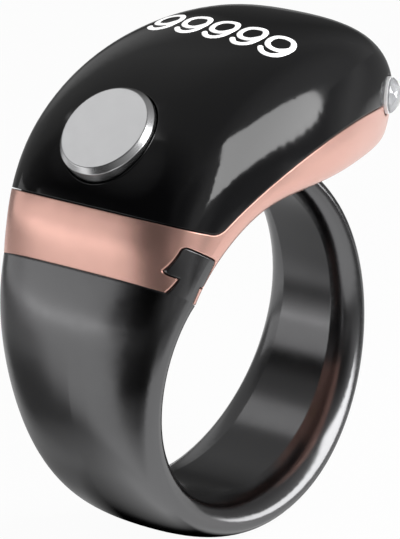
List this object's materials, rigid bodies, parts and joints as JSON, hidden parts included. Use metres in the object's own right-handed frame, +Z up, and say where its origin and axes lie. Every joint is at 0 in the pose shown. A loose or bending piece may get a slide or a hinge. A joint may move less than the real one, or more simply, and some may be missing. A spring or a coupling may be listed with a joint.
{
  "type": "digital tasbih counter ring",
  "caption": "Finger-worn tally counter: a domed black head with a display and a round count button on a rose-gold frame, carried by a dark tapering ring band.",
  "frame": {"origin": "centre of the finger bore, on its axis", "axes": "+Y along the finger bore, -Y the front with the crystal button, +Z up through the head, +X towards the head's free end"},
  "size_m": [0.0296, 0.0166, 0.0321],
  "materials": {
    "gloss_black": "high gloss",
    "rose_gold": "satin rose-gold anodised",
    "gunmetal": "satin gloss, dark grey",
    "satin_metal": "satin face, polished chamfer",
    "bright_metal": "polished",
    "crystal": "faceted, clear",
    "black_rubber": "matt",
    "switch_plastic": "matt",
    "steel": "bright",
    "board_green": "solder mask",
    "flex_amber": "polyimide film",
    "clear_film": "clear adhesive film",
    "display_glass": "dark display glass",
    "component_tan": "ceramic chips",
    "battery_foil": "foil pouch",
    "lead_red": "insulated wire",
    "gold_pins": "gold plated"
  },
  "bodies": {
    "housing": {"top_cover": "gloss_black", "mid_frame": "rose_gold", "cover_gasket": "black_rubber", "ring_band": "gunmetal", "count_button_seal": "black_rubber", "count_switch": "switch_plastic", "button_board": "board_green", "button_flex": "flex_amber", "function_button_seal": "black_rubber", "function_switch": "switch_plastic", "display_film": "clear_film", "display_panel": "display_glass", "display_flex": "flex_amber", "display_connector": "switch_plastic", "main_board": "board_green", "board_screws": "steel", "processor_chip": "switch_plastic", "vibration_motor": "steel", "board_components": "component_tan", "battery": "battery_foil", "battery_pad": "black_rubber", "battery_leads": "lead_red", "charge_pins": "gold_pins"},
    "count_button": {"count_button": "satin_metal", "count_button_clip": "steel", "count_switch_plunger": "switch_plastic"},
    "function_button": {"function_button": "bright_metal", "function_crystal": "crystal", "function_switch_plunger": "switch_plastic"}
  },
  "joints": [
    {"name": "count_button_press", "type": "slide", "parent": "housing", "child": "count_button", "axis": [0.682, 0, -0.7314], "range_m": [0, 0.0004], "stiffness_N_per_m": 3000},
    {"name": "function_button_press", "type": "slide", "parent": "housing", "child": "function_button", "axis": [-0.454, 0.891, 0], "range_m": [0, 0.0003], "stiffness_N_per_m": 4000}
  ]
}
